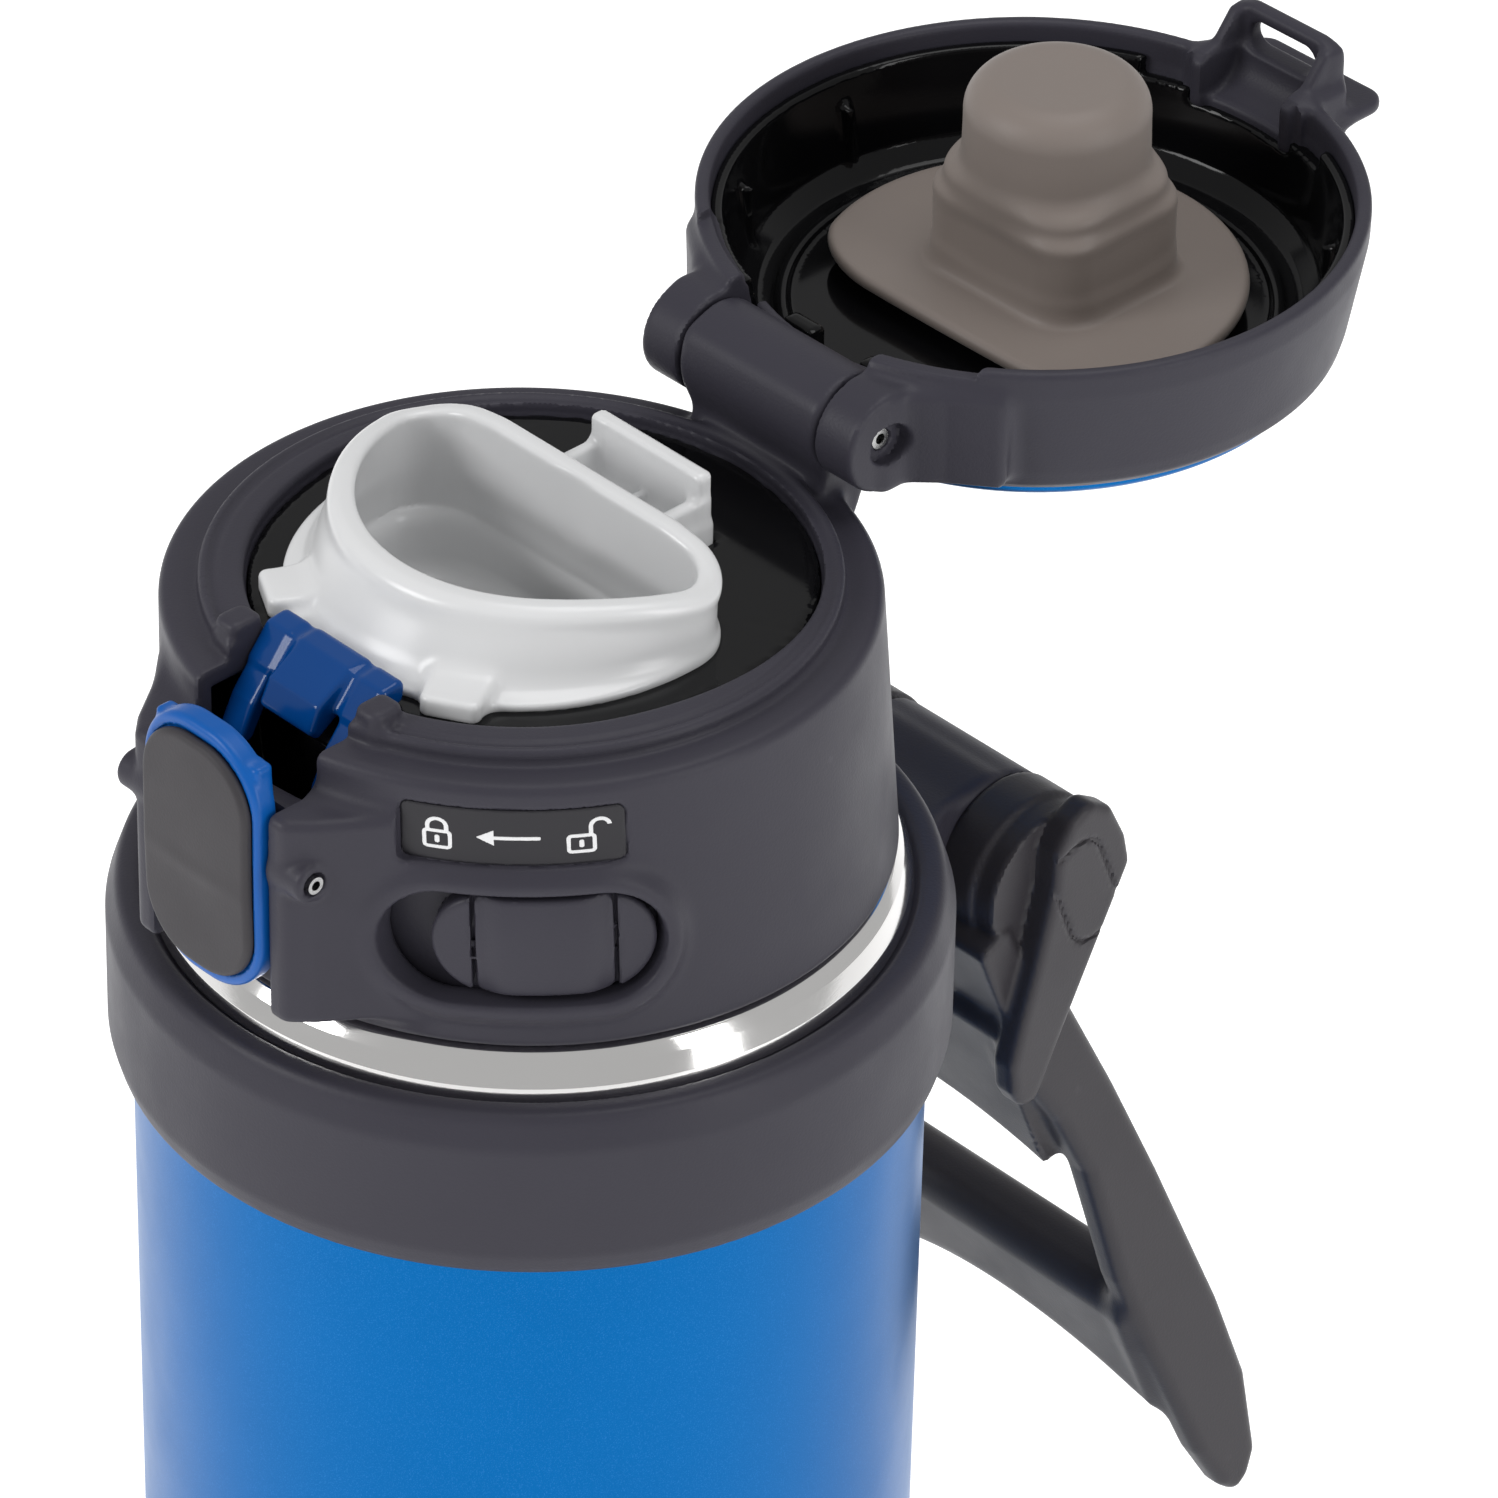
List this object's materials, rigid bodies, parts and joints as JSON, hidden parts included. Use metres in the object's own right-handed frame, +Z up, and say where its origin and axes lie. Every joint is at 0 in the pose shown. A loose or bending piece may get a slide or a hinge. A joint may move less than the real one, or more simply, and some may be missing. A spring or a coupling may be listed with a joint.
{
  "type": "insulated water jug",
  "caption": "Insulated steel water jug with a screw-in pouring cap, a hinged one-touch lid with a stopper, a push button with a lock slider, and a swinging handle that hooks over a fence.",
  "frame": {"origin": "centre of the base, on the surface the jug stands on", "axes": "+Z up along the jug, -Y towards the push button (front), +Y towards the lid hinge and the handle, +X to the side with the lock slider"},
  "size_m": [0.1164, 0.2125, 0.31],
  "materials": {
    "painted_body": "metallic blue lacquer, semi-gloss",
    "polished_steel": "polished stainless steel",
    "brushed_base": "brushed stainless steel",
    "pin_steel": "bright drawn steel",
    "spring_steel": "drawn spring wire",
    "dark_plastic": "fine-grained matte dark grey polypropylene",
    "handle_plastic": "fine-grained matte dark grey polypropylene",
    "black_plastic": "glossy black moulded plastic",
    "spout_plastic": "light grey satin plastic",
    "silicone": "matte taupe silicone",
    "blue_clip": "glossy blue plastic",
    "blue_frame": "blue satin plastic",
    "pad_rubber": "soft-touch dark grey",
    "icon_plate": "smooth dark inset",
    "icon_print": "white printed pictograms"
  },
  "bodies": {
    "bottle": {"outer_shell": "painted_body", "inner_vessel": "polished_steel", "base_plate": "brushed_base", "handle_collar": "dark_plastic", "handle_pin": "pin_steel"},
    "handle": {"carry_handle": "handle_plastic", "handle_pin_caps": "handle_plastic"},
    "gasket": {"mouth_gasket": "silicone"},
    "cap": {"cap_shell": "dark_plastic", "cap_core": "black_plastic", "spout": "spout_plastic", "spout_gasket": "silicone", "spout_clip": "blue_clip", "icon_plate": "icon_plate", "lock_icons": "icon_print", "button_pin": "pin_steel", "button_spring": "spring_steel", "hinge_pin": "pin_steel", "hinge_spring": "spring_steel"},
    "lid": {"lid_shell": "dark_plastic", "lid_liner": "black_plastic", "lid_cover": "painted_body", "stopper": "silicone"},
    "button": {"button_frame": "blue_frame", "button_pad": "pad_rubber"},
    "lock": {"lock_slider": "dark_plastic"}
  },
  "joints": [
    {"name": "handle_swing", "type": "hinge", "parent": "bottle", "child": "handle", "pos_m": [0, 0.078, 0.196], "axis": [1, 0, 0], "range_deg": [0, 110]},
    {"name": "cap_lift", "type": "slide", "parent": "bottle", "child": "gasket", "axis": [0, 0, 1], "range_m": [0, 0.012]},
    {"name": "cap_turn", "type": "hinge", "parent": "gasket", "child": "cap", "pos_m": [0, 0, 0.23], "axis": [0, 0, 1], "range_deg": [0, 540]},
    {"name": "lid_hinge", "type": "hinge", "parent": "cap", "child": "lid", "pos_m": [0, 0.046, 0.2824], "axis": [1, 0, 0], "range_deg": [0, 179]},
    {"name": "button_rock", "type": "hinge", "parent": "cap", "child": "button", "pos_m": [0, -0.055, 0.2571], "axis": [1, 0, 0], "range_deg": [0, 8], "stiffness_Nm_per_rad": 0.12, "springref_deg": -2.86},
    {"name": "lock_slide", "type": "hinge", "parent": "cap", "child": "lock", "pos_m": [0, 0, 0.247], "axis": [0, 0, 1], "range_deg": [-7, 0]}
  ],
  "couplings": [
    {"joint": "cap_lift", "follows": "cap_turn", "m_per_rad": 0.0012732}
  ]
}
